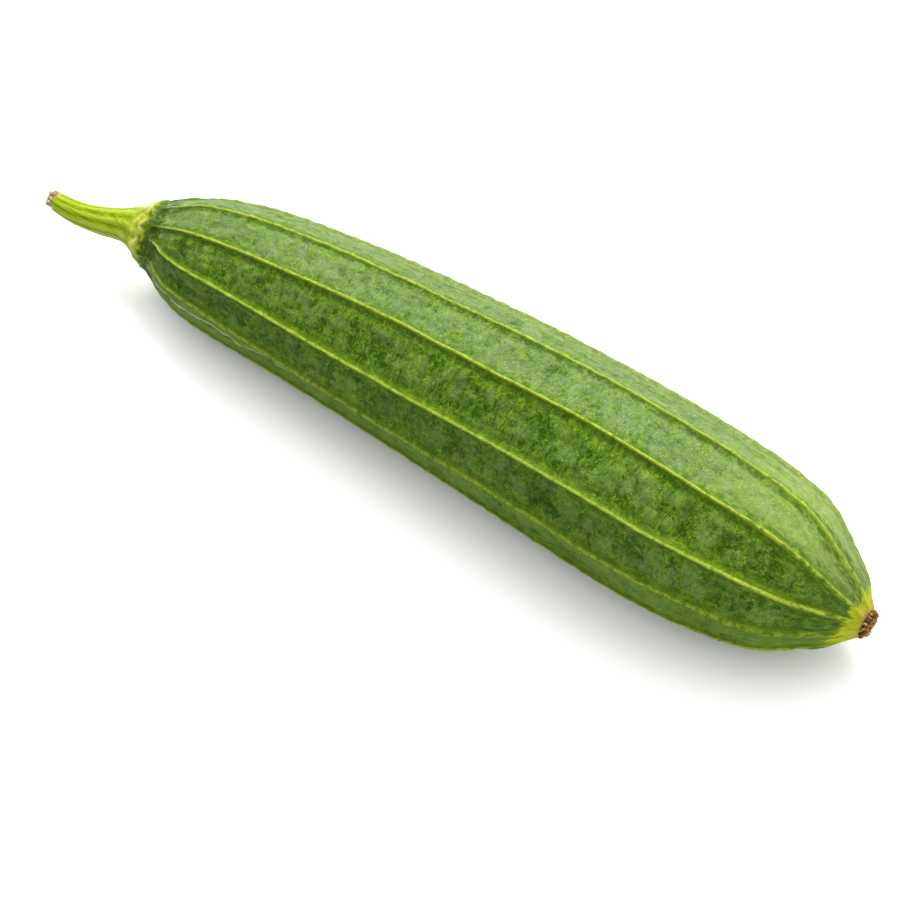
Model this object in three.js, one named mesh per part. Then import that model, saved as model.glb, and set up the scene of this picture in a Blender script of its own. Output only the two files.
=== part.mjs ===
// A whole ridge gourd, as picked: a club-shaped fruit with ten lengthwise ridges, the cut stalk that it hung
// from, and the dry scar of its flower at the other end.
// It lies along X on two neighbouring ridges, with the stalk at the -X end. Millimetres, +Z up. The origin is
// under the middle of the whole gourd, on the surface that it lies on.

import * as THREE from 'three';

// The fruit, measured from the collar, where the stalk meets it, towards the flower's scar.
const FRUIT_LENGTH = 287;
const RIDGE_COUNT = 10;
const RIDGE_STEP = 360 / RIDGE_COUNT;

// Distance along the fruit, and the radius over the ridges there.
const OUTLINE = [
  [0, 7.8], [5, 11.2], [12, 16], [22, 20.6], [38, 23.7], [70, 26.4], [125, 29.4], [188, 31.5],
  [223, 31.4], [245, 29.4], [261, 25.7], [273, 18.2], [281, 12], [FRUIT_LENGTH, 5.4],
];

// Distance along the fruit, how far its middle line bows sideways, and how far its ridges wander round.
const BOW = [[0, 0], [15, 3.1], [40, 3.7], [90, 4.1], [150, 2.1], [215, -0.7], [260, 1.5], [FRUIT_LENGTH, 2.2]];
const WANDER = [[0, 2], [40, 2.4], [100, 3.1], [190, -1], [250, -0.5], [FRUIT_LENGTH, -4.5]];

// The middle line's height: the underside is straight over the resting stretch, and both tips are free.
const COLLAR_HEIGHT = 22;
const NECK = { along: 20, height: 20.3 };
const RESTING_STRETCH = [50, 90, 130, 160, 190, 210, 230, 245];
const NOSE = { along: 268, height: 23.5 };
const SCAR_HEIGHT = 20.6;

// Each ridge's place round the fruit beside an even spacing, in degrees, from the lower ridge at the back.
const RIDGE_OFFSETS = [0, 1.5, -1, 1, 4, 0.2, 0.3, -2.5, -1, 0];
const FIRST_RIDGE = -90 + RIDGE_STEP / 2;
const WANDERING_SIDE = 126;

// The upper ridges turn a little of their own accord as well: distance along, and degrees, for each.
const RIDGE_TURNS = {
  4: [[0, 5.8], [12, 4.2], [30, 1.9], [60, -1.1], [160, -1.2], [205, -2.5], [245, -0.7], [270, 5.3], [287, 6]],
  5: [
    [0, 8], [12, 5.3], [30, 2.6], [60, 1.3], [110, -1.5], [160, 0], [205, -1], [245, 0.9], [270, 4.3],
    [287, 8],
  ],
  6: [
    [0, -10.5], [12, -6.7], [30, -3.8], [60, 0.5], [110, 2.6], [205, 1.3], [245, -0.2], [270, -2.1],
    [287, -5.2],
  ],
  7: [
    [0, -14.7], [12, -12.5], [30, -9.1], [60, -2.5], [110, 1.9], [160, 0.7], [205, 0.4], [245, -0.8],
    [270, -2.1], [287, -9],
  ],
};

// The collar, where the stalk flares out, takes up the first stretch of the fruit's own measure.
const COLLAR_LENGTH = 7;

// One ridge and the valley after it: degrees from the crest, and the depth below the crest's radius.
const RIDGE_SECTION = [[0, 0], [2.5, 0.035], [9, 0.078], [18, 0.095], [27, 0.078], [33.5, 0.035]];
const RIDGE_FADE = { atStem: 22, atScar: 16, left: 0.35 };
const FRUIT_STATIONS = 42;
const STATION_CROWDING = 0.82;

// The stalk: distance out from the fruit's start, sideways, up, and its radius.
const STEM_ROUTE = [
  [0, 0, 0, 7.9], [2.5, -0.2, -0.2, 7.4], [6, -0.7, -0.8, 6.2], [10, -1.4, -1.7, 5.6],
  [17.5, -2.8, -3.2, 4.9], [27.5, -4, -4, 4.2], [34, -4.2, -3.5, 3.6], [37.5, -4.1, -2.9, 3.2],
];
const STEM_RIBS = 5;
const STEM_RIB_HEIGHT = 0.07;
const STEM_COLUMNS = 30;
const STEM_STATIONS = 16;
const COLLAR_STATIONS = 4;

// The flower's scar, a low corky button: distance out from the fruit's tip, and its radius.
const SCAR_OUTLINE = [[0, 4.6], [0.7, 5.1], [1.6, 4.9], [2.4, 4.1], [2.7, 2.4]];
const SCAR_LOBES = 7;
const SCAR_LOBE_HEIGHT = 0.06;
const SCAR_COLUMNS = 28;

const JOINT_GAP = 0.3;

const materials = {
  greenSkin: new THREE.MeshStandardMaterial({ color: 0x4f8a1f, roughness: 0.45, metalness: 0 }),
  stalk: new THREE.MeshStandardMaterial({ color: 0x9fbf3c, roughness: 0.5, metalness: 0 }),
  dryCork: new THREE.MeshStandardMaterial({ color: 0x8a5a2a, roughness: 0.9, metalness: 0 }),
};

const radians = THREE.MathUtils.degToRad;

// A smooth value along a list of [position, value] knots, level at both ends of the list.
function smoothCurve(knots) {
  const positions = knots.map(([position]) => position);
  const values = knots.map(([, value]) => value);
  const interpolant = new THREE.CubicInterpolant(positions, values, 1);
  interpolant.settings = { endingStart: THREE.ZeroSlopeEnding, endingEnd: THREE.ZeroSlopeEnding };
  return (position) => interpolant.evaluate(position)[0];
}

const radiusAt = smoothCurve(OUTLINE);
const bowAt = smoothCurve(BOW);
const wanderAt = smoothCurve(WANDER);

const restingHeight = (along) => radiusAt(along) * Math.cos(radians(RIDGE_STEP / 2));
const heightAt = smoothCurve([
  [0, COLLAR_HEIGHT],
  [NECK.along, NECK.height],
  ...RESTING_STRETCH.map((along) => [along, restingHeight(along)]),
  [NOSE.along, NOSE.height],
  [FRUIT_LENGTH, SCAR_HEIGHT],
]);

// The fruit's middle line, and the way that it runs at a place along it.
const middleAt = (along) => new THREE.Vector3(along, bowAt(along), heightAt(along));

function middleDirection(along) {
  const before = middleAt(Math.max(along - 1, 0));
  const after = middleAt(Math.min(along + 1, FRUIT_LENGTH));
  return after.sub(before).normalize();
}

// A ring of points square to a direction that runs mostly along X. Corners are [angle, radius] pairs, and
// the angle runs from +Y towards +Z.
function ringAcross(centre, direction, corners) {
  const side = new THREE.Vector3(0, 0, 1).cross(direction).normalize();
  const up = direction.clone().cross(side);
  return corners.map(([angle, radius]) => (
    centre.clone()
      .addScaledVector(side, radius * Math.cos(angle))
      .addScaledVector(up, radius * Math.sin(angle))
  ));
}

// The corners of a round section with low ribs.
function ribbedCorners(radius, columns, ribs, ribHeight) {
  const corners = [];
  for (let column = 0; column < columns; column += 1) {
    const angle = (2 * Math.PI * column) / columns;
    corners.push([angle, radius * (1 - ribHeight + ribHeight * Math.cos(ribs * angle))]);
  }
  return corners;
}

function middleOf(ring) {
  const sum = ring.reduce((total, point) => total.add(point), new THREE.Vector3());
  return sum.divideScalar(ring.length);
}

// A closed body through a row of rings that follow each other along +X. Both ends are flat.
function loft(rings) {
  const columns = rings[0].length;
  const points = [...rings.flat(), middleOf(rings[0]), middleOf(rings[rings.length - 1])];
  const startCentre = points.length - 2;
  const endCentre = points.length - 1;
  const lastRing = (rings.length - 1) * columns;
  const triangles = [];
  for (let column = 0; column < columns; column += 1) {
    const next = (column + 1) % columns;
    triangles.push(startCentre, next, column);
    triangles.push(endCentre, lastRing + column, lastRing + next);
    for (let ring = 0; ring < lastRing; ring += columns) {
      triangles.push(ring + column, ring + next, ring + columns + column);
      triangles.push(ring + columns + column, ring + next, ring + columns + next);
    }
  }
  const geometry = new THREE.BufferGeometry().setFromPoints(points);
  geometry.setIndex(triangles);
  geometry.computeVertexNormals();
  return geometry;
}

// How much of the ridges' height is left at a place along the fruit: they flatten towards both ends.
function ridgeHeight(along) {
  const fromStem = THREE.MathUtils.smoothstep(along, 0, RIDGE_FADE.atStem);
  const fromScar = THREE.MathUtils.smoothstep(FRUIT_LENGTH - along, 0, RIDGE_FADE.atScar);
  return THREE.MathUtils.lerp(RIDGE_FADE.left, 1, Math.min(fromStem, fromScar));
}

const ridgeTurns = Object.fromEntries(
  Object.entries(RIDGE_TURNS).map(([ridge, knots]) => [ridge, smoothCurve(knots)]),
);

// The angle of a ridge's crest round the fruit. Only the ridges on the wandering side drift to and fro.
function crestAngle(ridge, along) {
  const evenAngle = FIRST_RIDGE + ridge * RIDGE_STEP;
  const share = (1 + Math.cos(radians(evenAngle - WANDERING_SIDE))) / 2;
  const turn = ridge in ridgeTurns ? ridgeTurns[ridge](along) : 0;
  return evenAngle + RIDGE_OFFSETS[ridge % RIDGE_COUNT] + share * wanderAt(along) + turn;
}

function fruitCorners(along) {
  const corners = [];
  for (let ridge = 0; ridge < RIDGE_COUNT; ridge += 1) {
    const here = crestAngle(ridge, along);
    const stretch = (crestAngle(ridge + 1, along) - here) / RIDGE_STEP;
    for (const [degrees, depth] of RIDGE_SECTION) {
      const radius = radiusAt(along) * (1 - depth * ridgeHeight(along));
      corners.push([radians(here + degrees * stretch), radius]);
    }
  }
  return corners;
}

// The stations stand closer together near both ends, where the outline turns most.
function makeFruit() {
  const rings = [];
  for (let station = 0; station <= FRUIT_STATIONS; station += 1) {
    const share = station / FRUIT_STATIONS;
    const crowded = share - (STATION_CROWDING * Math.sin(2 * Math.PI * share)) / (2 * Math.PI);
    const along = COLLAR_LENGTH + (FRUIT_LENGTH - COLLAR_LENGTH) * crowded;
    rings.push(ringAcross(middleAt(along), middleDirection(along), fruitCorners(along)));
  }
  return new THREE.Mesh(loft(rings), materials.greenSkin);
}

// The stalk's rings run from its cut end to the collar, so that they follow +X as the fruit's rings do. The
// collar's rings then follow the fruit's outline.
function makeStem() {
  const foot = middleAt(0);
  const outAlong = STEM_ROUTE.map(([out, side, up]) => foot.clone().add(new THREE.Vector3(-out, side, up)));
  const route = new THREE.CatmullRomCurve3(outAlong.reverse());
  const radiusOut = smoothCurve(STEM_ROUTE.map(([out, , , radius]) => [out, radius]));
  const rings = [];
  for (let station = 0; station <= STEM_STATIONS; station += 1) {
    const share = station / STEM_STATIONS;
    const centre = route.getPointAt(share);
    const direction = share === 1 ? middleDirection(0) : route.getTangentAt(share);
    const corners = ribbedCorners(radiusOut(foot.x - centre.x), STEM_COLUMNS, STEM_RIBS, STEM_RIB_HEIGHT);
    rings.push(ringAcross(centre, direction, corners));
  }
  for (let station = 1; station <= COLLAR_STATIONS; station += 1) {
    const along = ((COLLAR_LENGTH - JOINT_GAP) * station) / COLLAR_STATIONS;
    const corners = ribbedCorners(radiusAt(along), STEM_COLUMNS, STEM_RIBS, STEM_RIB_HEIGHT);
    rings.push(ringAcross(middleAt(along), middleDirection(along), corners));
  }
  return new THREE.Mesh(loft(rings), materials.stalk);
}

function makeBlossomScar() {
  const direction = middleDirection(FRUIT_LENGTH);
  const tip = middleAt(FRUIT_LENGTH).addScaledVector(direction, JOINT_GAP);
  const rings = SCAR_OUTLINE.map(([out, radius]) => {
    const corners = ribbedCorners(radius, SCAR_COLUMNS, SCAR_LOBES, SCAR_LOBE_HEIGHT);
    return ringAcross(tip.clone().addScaledVector(direction, out), direction, corners);
  });
  return new THREE.Mesh(loft(rings), materials.dryCork);
}

const pieces = { fruit: makeFruit(), stem: makeStem(), blossom_scar: makeBlossomScar() };

const gourd = new THREE.Group();
for (const [name, mesh] of Object.entries(pieces)) {
  mesh.name = name;
  gourd.add(mesh);
}

// The lowest ridges touch Z = 0, and the origin is under the middle of the whole gourd.
const bounds = new THREE.Box3().setFromObject(gourd, true);
const middle = bounds.getCenter(new THREE.Vector3());
gourd.position.set(-middle.x, -middle.y, -bounds.min.z);

export default gourd;
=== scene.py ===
"""A ridge gourd, as picked: the club-shaped fruit with ten lengthwise ridges, its cut stalk and the dry
flower scar. Metres, +Z up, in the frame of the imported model: the gourd lies along X on two of its ridges, with
the stalk at the -X end."""

import math

import bmesh
import bpy
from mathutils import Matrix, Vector, noise


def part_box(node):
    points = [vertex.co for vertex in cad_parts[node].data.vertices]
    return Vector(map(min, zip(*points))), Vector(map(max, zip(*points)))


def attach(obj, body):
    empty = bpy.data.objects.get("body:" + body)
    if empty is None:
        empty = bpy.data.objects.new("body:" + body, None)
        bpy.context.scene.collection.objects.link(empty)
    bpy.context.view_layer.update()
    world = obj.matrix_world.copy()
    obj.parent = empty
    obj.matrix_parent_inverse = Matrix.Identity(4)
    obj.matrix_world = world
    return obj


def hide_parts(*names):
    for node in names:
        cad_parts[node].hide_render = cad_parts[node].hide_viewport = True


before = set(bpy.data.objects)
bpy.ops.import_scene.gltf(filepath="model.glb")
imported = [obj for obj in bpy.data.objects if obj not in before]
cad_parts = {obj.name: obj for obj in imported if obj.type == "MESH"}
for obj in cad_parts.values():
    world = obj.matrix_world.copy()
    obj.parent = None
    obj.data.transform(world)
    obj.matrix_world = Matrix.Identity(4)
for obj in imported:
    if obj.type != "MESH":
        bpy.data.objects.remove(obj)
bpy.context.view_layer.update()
bpy.context.scene.view_settings.view_transform = "Standard"

MM = 0.001

# ---------------------------------------------------------------- the gourd's driving values

FRUIT_LENGTH = 287 * MM
RIDGES = 10
RIDGE_STEP = 360 / RIDGES

# Distance along the fruit, in millimetres, and the radius over the ridges there.
OUTLINE = [
    (0, 7.8), (5, 11.2), (12, 16), (22, 20.6), (38, 23.7), (70, 26.4), (125, 29.4), (188, 31.5),
    (223, 31.4), (245, 29.4), (261, 25.7), (273, 18.2), (281, 12), (287, 5.4),
]
# Distance along, how far the middle line bows sideways, and how far the ridges wander round in degrees.
BOW = [(0, 0), (15, 3.1), (40, 3.7), (90, 4.1), (150, 2.1), (215, -0.7), (260, 1.5), (287, 2.2)]
WANDER = [(0, 2), (40, 2.4), (100, 3.1), (190, -1), (250, -0.5), (287, -4.5)]
# The middle line's height: level with the resting ridges in between, and free at both tips.
FREE_HEIGHTS = [(0, 22), (20, 20.3), (268, 23.5), (287, 20.6)]
RESTING_STRETCH = [50, 90, 130, 160, 190, 210, 230, 245]

RIDGE_OFFSETS = [0, 1.5, -1, 1, 4, 0.2, 0.3, -2.5, -1, 0]
FIRST_RIDGE = -90 + RIDGE_STEP / 2
WANDERING_SIDE = 126

# The upper ridges turn a little of their own accord as well: distance along, and degrees, for each.
RIDGE_TURNS = {
    4: [(0, 5.8), (12, 4.2), (30, 1.9), (60, -1.1), (160, -1.2), (205, -2.5), (245, -0.7), (270, 5.3),
        (287, 6)],
    5: [(0, 8), (12, 5.3), (30, 2.6), (60, 1.3), (110, -1.5), (160, 0), (205, -1), (245, 0.9), (270, 4.3),
        (287, 8)],
    6: [(0, -10.5), (12, -6.7), (30, -3.8), (60, 0.5), (110, 2.6), (205, 1.3), (245, -0.2), (270, -2.1),
        (287, -5.2)],
    7: [(0, -14.7), (12, -12.5), (30, -9.1), (60, -2.5), (110, 1.9), (160, 0.7), (205, 0.4), (245, -0.8),
        (270, -2.1), (287, -9)],
}

# How far the nose leans to the front, and where along the fruit the lean starts and stops.
NOSE_LEAN = 1.2 * MM
LEAN_STARTS, LEAN_STOPS = (185 * MM, 240 * MM), (287 * MM, 268 * MM)

# The collar, where the stalk flares out, takes up the first stretch of the fruit.
COLLAR_LENGTH = 7 * MM


def smooth_curve(knots):
    """A smooth value along a list of (position, value) knots, level at both ends of the list."""

    def value(at):
        last = len(knots) - 1
        here = min(max(sum(at >= k[0] for k in knots), 1), last)
        (t0, v0), (t1, v1) = knots[here - 1], knots[here]
        before, v_before = knots[here - 2] if here > 1 else (2 * t0 - t1, v1)
        after, v_after = knots[here + 1] if here < last else (2 * t1 - t0, v0)
        half = (t1 - t0) / 2
        w_before, w_after = half / (t0 - before), half / (after - t1)
        p = (at - t0) / (t1 - t0)
        return (
            (-w_before * p**3 + 2 * w_before * p**2 - w_before * p) * v_before
            + ((1 + w_before) * p**3 + (-1.5 - 2 * w_before) * p**2 + (w_before - 0.5) * p + 1) * v0
            + ((-1 - w_after) * p**3 + (1.5 + w_after) * p**2 + 0.5 * p) * v1
            + (w_after * p**3 - w_after * p**2) * v_after
        )

    return value


radius_mm = smooth_curve(OUTLINE)
bow_mm = smooth_curve(BOW)
wander_at = smooth_curve(WANDER)
ridge_turns = {ridge: smooth_curve(knots) for ridge, knots in RIDGE_TURNS.items()}
resting = [(at, radius_mm(at) * math.cos(math.radians(RIDGE_STEP / 2))) for at in RESTING_STRETCH]
height_mm = smooth_curve(FREE_HEIGHTS[:2] + resting + FREE_HEIGHTS[2:])


def smoothstep(x, low, high):
    t = min(max((x - low) / (high - low), 0), 1)
    return t * t * (3 - 2 * t)


def route_at(along):
    """The fruit's middle line, measured from its own start. Along is in metres from the collar."""
    at = along / MM
    return Vector((at, bow_mm(at), height_mm(at))) * MM


def direction_at(along):
    before = route_at(max(along - MM, 0))
    after = route_at(min(along + MM, FRUIT_LENGTH))
    return (after - before).normalized()


def crest_angle(ridge, along):
    """Degrees round the fruit, from +Y towards +Z. Only the ridges on one side drift to and fro."""
    even = FIRST_RIDGE + ridge * RIDGE_STEP
    share = (1 + math.cos(math.radians(even - WANDERING_SIDE))) / 2
    turned = ridge_turns[ridge](along / MM) if ridge in ridge_turns else 0
    return even + RIDGE_OFFSETS[ridge % RIDGES] + share * wander_at(along / MM) + turned


def across(direction, angle):
    """The way out from the middle line at this angle, square to a direction that runs mostly along X."""
    side = Vector((0, 0, 1)).cross(direction).normalized()
    up = direction.cross(side)
    return side * math.cos(math.radians(angle)) + up * math.sin(math.radians(angle))


def find_fruit_start():
    """Where the fruit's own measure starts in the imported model, whose box the crests of the ridges touch."""
    crests = []
    for at in range(round(COLLAR_LENGTH / MM), round(FRUIT_LENGTH / MM) + 1):
        along = at * MM
        for ridge in range(RIDGES):
            out = across(direction_at(along), crest_angle(ridge, along))
            crests.append(route_at(along) + out * radius_mm(at) * MM)
    low = Vector([min(crest[axis] for crest in crests) for axis in range(3)])
    return Vector(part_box("fruit")[0]) - low


FRUIT_START = find_fruit_start()


def middle_at(along):
    """The nose leans a little to the front, and comes back at the very tip."""
    lean = smoothstep(along, *LEAN_STARTS) * smoothstep(along, *LEAN_STOPS)
    return FRUIT_START + route_at(along) - Vector((0, NOSE_LEAN * lean, 0))


# ---------------------------------------------------------------- camera, lights and floor

AIM = Vector((0.019875, -0.019305, 0.025))
CAMERA_AZIMUTH = math.radians(35.6)
CAMERA_ELEVATION = math.radians(51)
CAMERA_DISTANCE = 0.8011
LENS = 100

# Each softbox: where it hangs, how wide it is, and its power.
SOFTBOXES = {
    "softbox_overhead": ((-0.20, 0.45, 2.10), 2.2, 24),
    "softbox_behind": ((-0.80, 1.13, 1.71), 1.0, 36),
    "softbox_right": ((2.00, -0.10, 0.25), 0.45, 9),
}
ROOM_LIGHT = 0.20
SENSOR_WIDTH, NEAREST_SEEN = 36, 10 * MM
FLOOR_SIZE = 8
FLOOR_WHITE = 0.80
FLOOR_LIFT = 0.90
# The floor's own white dims this close under the gourd, as a painted contact shadow, found with this many rays.
SHADOW_REACH, SHADOW_RAYS = 60 * MM, 3


def look_from(place, at):
    return (place - at).to_track_quat("Z", "Y").to_euler()


def place_camera():
    away = Vector((
        math.cos(CAMERA_ELEVATION) * math.sin(CAMERA_AZIMUTH),
        -math.cos(CAMERA_ELEVATION) * math.cos(CAMERA_AZIMUTH),
        math.sin(CAMERA_ELEVATION),
    ))
    place = AIM + away * CAMERA_DISTANCE
    bpy.ops.object.camera_add(location=place, rotation=look_from(place, AIM))
    camera = bpy.context.object
    camera.name = "camera"
    camera.data.lens = LENS
    camera.data.sensor_width = SENSOR_WIDTH
    camera.data.clip_start = NEAREST_SEEN
    bpy.context.scene.camera = camera


def hang_softbox(name, place, size, power):
    bpy.ops.object.light_add(type="AREA", location=place, rotation=look_from(Vector(place), AIM))
    lamp = bpy.context.object
    lamp.name = name
    lamp.data.shape = "SQUARE"
    lamp.data.size = size
    lamp.data.energy = power


def light_the_room():
    """A dim, even room that looks white straight on."""
    world = bpy.data.worlds.new("studio")
    bpy.context.scene.world = world
    world.use_nodes = True
    nodes, links = world.node_tree.nodes, world.node_tree.links
    nodes.clear()
    out = nodes.new("ShaderNodeOutputWorld")
    mix = nodes.new("ShaderNodeMixShader")
    path = nodes.new("ShaderNodeLightPath")
    links.new(path.outputs["Is Camera Ray"], mix.inputs["Fac"])
    for socket, strength in ((1, ROOM_LIGHT), (2, 1.0)):
        glow = nodes.new("ShaderNodeBackground")
        glow.inputs["Color"].default_value = (1, 1, 1, 1)
        glow.inputs["Strength"].default_value = strength
        links.new(glow.outputs[0], mix.inputs[socket])
    links.new(mix.outputs[0], out.inputs["Surface"])
    for name, (place, size, power) in SOFTBOXES.items():
        hang_softbox(name, place, size, power)


def lay_floor():
    """A pale floor. A part of its white is its own, so that the gourd's shadow stays light; ambient occlusion
    dims that own white near the gourd as a painted contact shadow.
    """
    start_fresh()
    bpy.ops.mesh.primitive_plane_add(size=FLOOR_SIZE, location=(0, 0, 0))
    floor = bpy.context.object
    floor.name = "floor"
    paint = bpy.data.materials.new("white_table")
    paint.use_nodes = True
    nodes, links = paint.node_tree.nodes, paint.node_tree.links
    nodes.clear()
    out = nodes.new("ShaderNodeOutputMaterial")
    board = nodes.new("ShaderNodeBsdfDiffuse")
    board.inputs["Color"].default_value = (FLOOR_WHITE, FLOOR_WHITE, FLOOR_WHITE, 1)
    path = nodes.new("ShaderNodeLightPath")
    share, sky_share = nodes.new("ShaderNodeMath"), nodes.new("ShaderNodeMath")
    share.operation = sky_share.operation = "MULTIPLY"
    share.inputs[1].default_value = FLOOR_LIFT
    links.new(path.outputs["Is Camera Ray"], share.inputs[0])
    # Ambient occlusion dims the floor's own white near the gourd: a painted contact shadow.
    open_sky = nodes.new("ShaderNodeAmbientOcclusion")
    open_sky.samples = SHADOW_RAYS
    open_sky.inputs["Distance"].default_value = SHADOW_REACH
    links.new(share.outputs[0], sky_share.inputs[0])
    links.new(open_sky.outputs["AO"], sky_share.inputs[1])
    lift = nodes.new("ShaderNodeEmission")
    lift.inputs["Color"].default_value = (1, 1, 1, 1)
    links.new(sky_share.outputs[0], lift.inputs["Strength"])
    both = nodes.new("ShaderNodeAddShader")
    links.new(board.outputs[0], both.inputs[0])
    links.new(lift.outputs[0], both.inputs[1])
    links.new(both.outputs[0], out.inputs["Surface"])
    floor.data.materials.append(paint)


# ---------------------------------------------------------------- helpers for modelling by hand


def start_fresh():
    if bpy.context.mode != "OBJECT":
        bpy.ops.object.mode_set(mode="OBJECT")
    bpy.ops.object.select_all(action="DESELECT")


def select_corners(piece, wanted):
    """Selects the corners that wanted(corner, mesh) names, in edit mode."""
    bpy.ops.mesh.select_all(action="DESELECT")
    mesh = bmesh.from_edit_mesh(piece.data)
    for corner in mesh.verts:
        corner.select = bool(wanted(corner, mesh))
    mesh.select_flush_mode()
    bmesh.update_edit_mesh(piece.data)


def use_modifier(piece, kind, **settings):
    """Adds a modifier with these settings and applies it at once."""
    modifier = piece.modifiers.new(kind.lower(), kind)
    for key, value in settings.items():
        setattr(modifier, key, value)
    bpy.context.view_layer.objects.active = piece
    bpy.ops.object.modifier_apply(modifier=modifier.name)


def keep_mark(piece, name, values):
    """Leaves one number on each corner, for the finish to read."""
    piece.data.attributes.new(name, "FLOAT", "POINT")
    piece.data.attributes[name].data.foreach_set("value", values)


def read_mark(piece, name):
    values = [0.0] * len(piece.data.vertices)
    piece.data.attributes[name].data.foreach_get("value", values)
    return values


def emboss(piece, name, heights, strength):
    """Raises each corner along its normal by its own height (0 to 1) times strength. The heights stay on the
    piece as a mark."""
    group = piece.vertex_groups.new(name=name + "_relief")
    for corner, height in enumerate(heights):
        group.add([corner], height, "REPLACE")
    use_modifier(piece, "DISPLACE", vertex_group=group.name, strength=strength, mid_level=0)
    keep_mark(piece, name, heights)


def make_smooth(piece):
    bpy.ops.object.select_all(action="DESELECT")
    piece.select_set(True)
    bpy.ops.object.shade_smooth()


def read_cage(piece):
    """Each corner's column and station."""
    marks = piece.data.attributes
    return [item.value for item in marks["column"].data], [item.value for item in marks["station"].data]


def draw_tube_cage(name, columns, places, radii):
    """Draws a ring at the first place and pulls it out from place to place along X. Each corner remembers its
    column, counted from +Y towards +Z, and its station."""
    start_fresh()
    bpy.ops.mesh.primitive_circle_add(
        vertices=columns, radius=radii[0], fill_type="NOTHING", location=places[0],
        rotation=(0, math.pi / 2, 0),
    )
    piece = bpy.context.object
    piece.name = name
    bpy.ops.object.transform_apply(location=True, rotation=True, scale=True)
    bpy.ops.object.mode_set(mode="EDIT")
    mesh = bmesh.from_edit_mesh(piece.data)
    column_of = mesh.verts.layers.int.new("column")
    mesh.verts.layers.int.new("station")
    for corner in mesh.verts:
        angle = math.atan2(corner.co.z - places[0].z, corner.co.y - places[0].y)
        corner[column_of] = round(angle / math.tau * columns) % columns
    bmesh.update_edit_mesh(piece.data)
    bpy.ops.mesh.select_all(action="SELECT")
    for station in range(1, len(places)):
        step = places[station] - places[station - 1]
        bpy.ops.mesh.extrude_region_move(TRANSFORM_OT_translate={"value": step, "orient_type": "GLOBAL"})
        swell = radii[station] / radii[station - 1]
        bpy.ops.transform.resize(
            value=(1, swell, swell), orient_type="GLOBAL", center_override=places[station]
        )
        mesh = bmesh.from_edit_mesh(piece.data)
        station_of = mesh.verts.layers.int["station"]
        for corner in mesh.verts:
            if corner.select:
                corner[station_of] = station
        bmesh.update_edit_mesh(piece.data)
    return piece


def settle_corners(piece, place_of):
    """Slides every corner to place_of(column, station)."""
    mesh = bmesh.from_edit_mesh(piece.data)
    column_of, station_of = mesh.verts.layers.int["column"], mesh.verts.layers.int["station"]
    for corner in mesh.verts:
        corner.co = place_of(corner[column_of], corner[station_of])
    bmesh.update_edit_mesh(piece.data)


def close_ends(piece, last, inset):
    """Caps both ends with an inset and a middle point."""
    for end in (0, last):
        select_corners(piece, lambda corner, mesh: corner[mesh.verts.layers.int["station"]] == end)
        bpy.ops.mesh.edge_face_add()
        bpy.ops.mesh.inset(thickness=inset, depth=0)
        bpy.ops.mesh.poke()
    bpy.ops.mesh.select_all(action="SELECT")
    bpy.ops.mesh.normals_make_consistent(inside=False)
    # An end that is drawn in can mislead the line above, but the volume can't be wrong.
    if bmesh.from_edit_mesh(piece.data).calc_volume(signed=True) < 0:
        bpy.ops.mesh.flip_normals()
    bpy.ops.object.mode_set(mode="OBJECT")


# The map: the share of it left free along one edge, and each cap's size and height in that margin.
MAP_MARGIN = 0.05
CAP_MAP_SCALE = 2.0
CAP_MAP_PLACES = (0.1, 0.3)


def unroll(piece, columns, share_of):
    """Lays the tube out flat as a map: share_of(station) runs from 0 to 1 along it, and the columns run round
    it. Each cap gets a small disc of its own in the margin."""
    data = piece.data
    column, station = read_cage(piece)
    last = max(station)
    middles = {}
    for end in (0, last):
        ring = [corner.co for corner, at in zip(data.vertices, station) if at == end]
        middles[end] = sum(ring, Vector()) / len(ring)
    flat = data.uv_layers.new(name="OFBake")
    for face in data.polygons:
        corners = list(face.vertices)
        is_cap = len({station[corner] for corner in corners}) == 1
        over_seam = {0, columns - 1} <= {column[corner] for corner in corners}
        for loop, corner in zip(face.loop_indices, corners):
            if is_cap:
                out = (data.vertices[corner].co - middles[station[corner]]) * CAP_MAP_SCALE
                place = CAP_MAP_PLACES[station[corner] == last]
                flat.data[loop].uv = (MAP_MARGIN / 2 + out.y, place + out.z)
            else:
                turn = 1 if over_seam and column[corner] == 0 else column[corner] / columns
                flat.data[loop].uv = (MAP_MARGIN + (1 - MAP_MARGIN) * share_of(station[corner]), turn)


# ---------------------------------------------------------------- the fruit

# One ridge of the fruit's cage: degrees from the crest, and the depth below it as a share of the radius.
CAGE_SECTION = [
    (-10, 0.080), (-3.6, 0.047), (-1.3, 0.019), (0, -0.008), (1.3, 0.019), (3.6, 0.047), (10, 0.080),
    (18, 0.097),
]
COLUMNS = RIDGES * len(CAGE_SECTION)
flank_depth = smooth_curve(CAGE_SECTION[3:])
STATIONS = 73
STATION_CROWDING = 0.35
HIDDEN_IN_COLLAR = 2 * MM
SUNK_IN_COLLAR = 0.7 * MM
FADE_AT_STEM, FADE_AT_SCAR, FADE_LEFT = 22 * MM, 16 * MM, 0.35
FRUIT_CAP_INSET = 2.5 * MM
# The radius of the plain cylinder on which the skin's marks are laid out.
BELLY_RADIUS = 30 * MM

# The seam: a painted highlight line, with painted shade along its lower side, a little way below one ridge from
# the
# collar: which ridge, degrees from its crest, its length, and the degrees between which it is drawn.
SEAM_RIDGE, SEAM_PLACE, SEAM_LENGTH = 7, 10, 122 * MM
SEAM_FROM, SEAM_TO = 3, 20
# One crest is worn and olive, and one is washed out.
WORN_RIDGE = 7
FAINT_RIDGE = 3

# Painted sheen and painted light lie on the upper side, where the lamps shine: degrees round from ridge 0 where
# it comes and goes.
LIT_SIDE_STARTS, LIT_SIDE_STOPS = (60, 95), (181, 179)
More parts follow.
